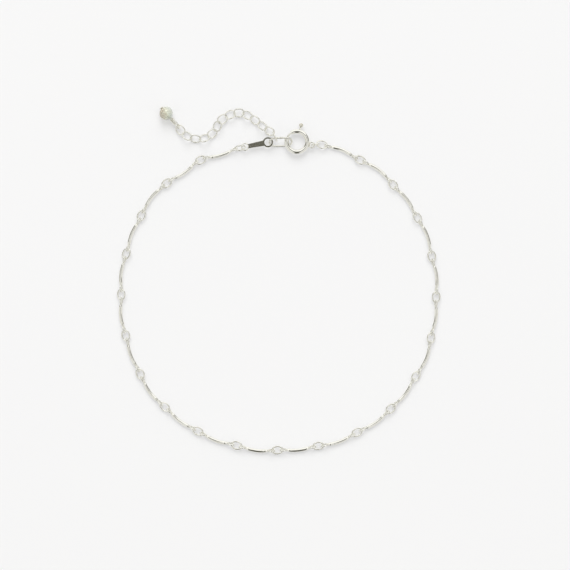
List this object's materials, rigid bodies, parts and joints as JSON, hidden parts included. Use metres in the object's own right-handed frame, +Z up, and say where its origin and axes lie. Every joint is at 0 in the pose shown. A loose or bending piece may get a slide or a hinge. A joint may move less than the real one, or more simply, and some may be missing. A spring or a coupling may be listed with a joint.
{
  "type": "bar and link chain anklet",
  "caption": "Fine silver ankle chain of bowed bars and small oval rings, fastened by a spring ring clasp, with a plain tag and an extender chain ending in a faceted bead.",
  "frame": {"origin": "on the table under the middle of the whole fastened anklet", "axes": "+Z up from the table, +Y towards the clasp and extender, +X to the right with the clasp at the top"},
  "size_m": [0.0744, 0.08, 0.0031],
  "materials": {
    "silver": "polished sterling silver with fine tumbling marks and a trace of warm tarnish in recesses",
    "bead_stone": "faceted and polished cloudy grey-green stone"
  },
  "bodies": {
    "anklet": {"ring_01": "silver", "bar_01": "silver", "ring_02": "silver", "bar_02": "silver", "ring_03": "silver", "bar_03": "silver", "ring_04": "silver", "bar_04": "silver", "ring_05": "silver", "bar_05": "silver", "ring_06": "silver", "bar_06": "silver", "ring_07": "silver", "bar_07": "silver", "ring_08": "silver", "bar_08": "silver", "ring_09": "silver", "bar_09": "silver", "ring_10": "silver", "bar_10": "silver", "ring_11": "silver", "bar_11": "silver", "ring_12": "silver", "bar_12": "silver", "ring_13": "silver", "bar_13": "silver", "ring_14": "silver", "bar_14": "silver", "ring_15": "silver", "bar_15": "silver", "ring_16": "silver", "bar_16": "silver", "ring_17": "silver", "bar_17": "silver", "ring_18": "silver", "bar_18": "silver", "ring_19": "silver", "bar_19": "silver", "ring_20": "silver", "bar_20": "silver", "ring_21": "silver", "bar_21": "silver", "ring_22": "silver", "bar_22": "silver", "ring_23": "silver", "clasp_ring": "silver", "clasp_link": "silver", "tag": "silver", "joining_ring": "silver", "extender_chain": "silver", "bead": "bead_stone", "bead_pin": "silver"},
    "trigger": {"clasp_trigger": "silver"}
  },
  "joints": [
    {"name": "clasp_open", "type": "hinge", "parent": "anklet", "child": "trigger", "pos_m": [0.00417, 0.0319, 0.00119], "axis": [0, 0, -1], "range_deg": [0, 47], "stiffness_Nm_per_rad": 0.0005, "springref_deg": -5.73}
  ]
}
